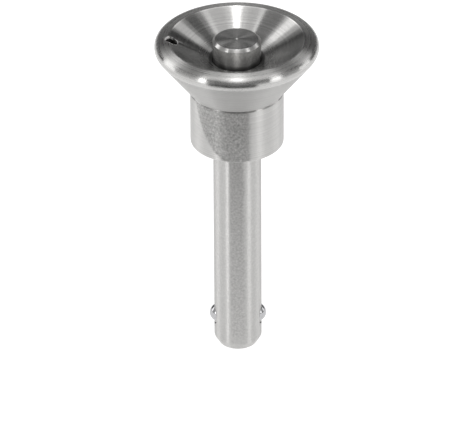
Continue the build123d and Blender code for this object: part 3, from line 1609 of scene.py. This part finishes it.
@dataclass
class Studio:
    """Table, surroundings, lights and camera.

    Attributes:
        camera_elevation: Degrees that the camera stands above the table.
        camera_distance: Distance from the camera to the framed height on the pin's axis.
        framed_height: That height.
        focal_pixels: The camera's focal length in pixels of the picture.
        picture_width: The picture's width in pixels.
        right_of_centre: How far right of the picture's centre that point is, in pixels.
        above_centre: How far above the picture's centre that point is, in pixels.
        lean: Degrees that the pin leans to the left in the picture.
        table_front: Distance from the pin to the end of the bay in the table's front.
        bay_spreads: How much the bay widens to the left and right for each metre towards the front.
        table_reach: How far the table runs to the sides and behind.
        table_glow: Light that the table gives off.
        sky: Brightness of the surroundings on the pin.
        backdrop: Brightness of the surroundings in the picture.
        panels: The soft lights. A nearer one covers what lies behind it.
        lamp_height: How far above the pin's head the overhead lamp hangs.
        lamp_size: Width and length of the lamp.
        lamp_brightness: Brightness of its face.
        lamp_back: How far behind the pin's axis its middle hangs.
        table_colour: Colour of the table.
        sensor_width: Width of the camera's sensor in millimetres.
        farthest: Distance up to which the camera sees.
    """

    camera_elevation: float = 31.2
    camera_distance: float = 1.176
    framed_height: float = 0.035
    focal_pixels: float = 5626.0
    picture_width: float = 449.0
    right_of_centre: float = 13.03
    above_centre: float = 20.15
    lean: float = 0.355
    table_front: float = 0.087
    bay_spreads: Tuple[float, float] = (0.8, 0.5)
    table_reach: float = 4.0
    table_glow: float = 0.92
    sky: float = 0.06
    backdrop: float = 1.3
    panels: Tuple[LightPanel, ...] = (
        LightPanel("overhead_bank", (-33, 26), (50, 117), 1.20, 0.98),
        LightPanel("overhead_middle", (-11, 11), (50, 122), 1.17, 1.2),
        LightPanel("overhead_core", (-6, 6), (55, 127), 1.15, 1.55),
        LightPanel("left_seam", (22, 26.5), (80, 117), 1.15, 1.6),
        LightPanel("right_seam", (-31, -26), (80, 117), 1.15, 1.4),
        LightPanel("left_front", (22.5, 27.5), (130, 180), 1.15, 4.5),
        LightPanel("right_front", (-33, -24.5), (125, 180), 1.15, 2.4),
        LightPanel("left_front_fill", (27, 49), (127, 180), 1.20, 0.6),
        LightPanel("right_front_fill", (-50, -33), (127, 180), 1.20, 0.5),
        LightPanel("front_wall", (-22, 22), (127, 180), 1.25, 0.26),
        LightPanel("back_wall", (-80, 80), (8, 42), 1.30, 0.22),
        LightPanel("left_back", (75, 105), (5, 45), 1.28, 0.2),
        LightPanel("right_back", (-105, -75), (5, 45), 1.28, 0.2),
        LightPanel("left_gap", (26, 45), (60, 120), 1.25, 0.34),
        LightPanel("left_shoulder", (45, 80), (60, 125), 1.24, 0.38),
        LightPanel("left_slope", (48, 72), (65, 130), 1.22, 0.85),
        LightPanel("left_side", (52, 64), (75, 140), 1.20, 1.8),
        LightPanel("left_side_low", (49, 64), (140, 180), 1.20, 2.0),
        LightPanel("right_gap", (-50, -33), (60, 120), 1.25, 0.2),
        LightPanel("right_slope", (-39, -30), (70, 120), 1.22, 0.42),
        LightPanel("right_shoulder", (-75, -51), (60, 120), 1.22, 0.45),
        LightPanel("right_side", (-70, -57), (80, 140), 1.20, 1.0),
        LightPanel("right_side_low", (-64, -50), (140, 180), 1.20, 1.6),
    )
    lamp_height: float = 1.05
    lamp_size: Tuple[float, float] = (0.09, 1.0)
    lamp_brightness: float = 3.2
    lamp_back: float = 0.25
    table_colour: Colour = (0.35, 0.35, 0.35)
    sensor_width: float = 36.0
    farthest: float = 20.0

    def build(self) -> None:
        """Set up everything round the pin."""
        self.build_table()
        self.build_surroundings()
        aim = Vector((0, 0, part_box("handle")[1].z))
        for panel in self.panels:
            panel.build(aim, math.radians(self.camera_elevation))
        self.build_lamp(aim)
        self.build_camera()
        bpy.context.scene.view_settings.view_transform = "Standard"

    def build_lamp(self, aim: Vector) -> None:
        """Hang the long lamp over the pin's head.

        Args:
            aim: The top of the pin.
        """
        lamp = bpy.data.lights.new("overhead_lamp", "AREA")
        lamp.shape = "RECTANGLE"
        lamp.size, lamp.size_y = self.lamp_size
        lamp.energy = self.lamp_brightness * math.pi * lamp.size * lamp.size_y
        light = bpy.data.objects.new("overhead_lamp", lamp)
        light.location = aim + Vector((0, self.lamp_back, self.lamp_height))
        light.visible_camera = False
        bpy.context.scene.collection.objects.link(light)

    def build_table(self) -> None:
        """Lay the table top under the pin, with a dark bay in its front where the camera stands."""
        shape = bmesh.new()
        reach, front = self.table_reach, self.table_front
        parts = [((-reach, -front), (reach, -front), (reach, reach), (-reach, reach))]
        for side, spread in zip((-1, 1), self.bay_spreads):
            bay = ((side * front * spread, -front), (side * reach * spread, -reach))
            parts.append((*bay, (side * reach, -reach), (side * reach, -front)))
        for part in parts:
            shape.faces.new([shape.verts.new((x, y, 0)) for x, y in part])
        table = finished_object("table_top", shape)
        for face in table.data.polygons:
            if face.normal.z < 0:
                face.flip()
        finish = WhiteTable("table_white", self.table_colour, self.table_glow)
        table.data.materials.append(finish.material())

    def build_surroundings(self) -> None:
        """Fill the surroundings with plain light, brighter where the camera looks straight at them."""
        world = bpy.data.worlds.new("surroundings")
        world.use_nodes = True
        bpy.context.scene.world = world
        tree = world.node_tree
        tree.nodes.clear()
        path = tree.nodes.new("ShaderNodeLightPath")
        strength = tree.nodes.new("ShaderNodeMapRange")
        strength.inputs["To Min"].default_value = self.sky
        strength.inputs["To Max"].default_value = self.backdrop
        background = tree.nodes.new("ShaderNodeBackground")
        output = tree.nodes.new("ShaderNodeOutputWorld")
        tree.links.new(path.outputs["Is Camera Ray"], strength.inputs["Value"])
        tree.links.new(strength.outputs["Result"], background.inputs["Strength"])
        tree.links.new(background.outputs["Background"], output.inputs["Surface"])

    def build_camera(self) -> None:
        """Place the camera at the picture's viewing angle and frame the pin as the picture does."""
        elevation = math.radians(self.camera_elevation)
        away = Vector((0, -math.cos(elevation), math.sin(elevation)))
        right = Vector((1, 0, 0))
        up = Vector((0, math.sin(elevation), math.cos(elevation)))
        framed = Vector((0, 0, self.framed_height))
        pixel = self.camera_distance / self.focal_pixels
        aim = framed - right * self.right_of_centre * pixel - up * self.above_centre * pixel
        place = framed + away * self.camera_distance
        lens = bpy.data.cameras.new("camera")
        lens.sensor_width = self.sensor_width
        lens.lens = lens.sensor_width * self.focal_pixels / self.picture_width
        lens.clip_end = self.farthest
        camera = bpy.data.objects.new("camera", lens)
        camera.location = place
        camera.rotation_mode = "QUATERNION"
        facing = (place - aim).to_track_quat("Z", "Y")
        roll = Matrix.Rotation(math.radians(-self.lean), 3, "Z").to_quaternion()
        camera.rotation_quaternion = facing @ roll
        bpy.context.scene.collection.objects.link(camera)
        bpy.context.scene.camera = camera


def main() -> None:
    """Build the pin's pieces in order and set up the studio."""
    logging.basicConfig(level=logging.INFO, format="%(message)s")
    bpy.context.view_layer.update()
    makers = [
        Handle(),
        Shank(),
        Spindle(),
        Button(),
        ReturnSpring(),
        Ball("ball_left", Body.LEFT_BALL),
        Ball("ball_right", Body.RIGHT_BALL),
    ]
    for maker in makers:
        piece = maker.build()
        LOG.info("%s: %d faces", piece.name, len(piece.data.polygons))
    Studio().build()


if __name__ == "__main__":
    main()
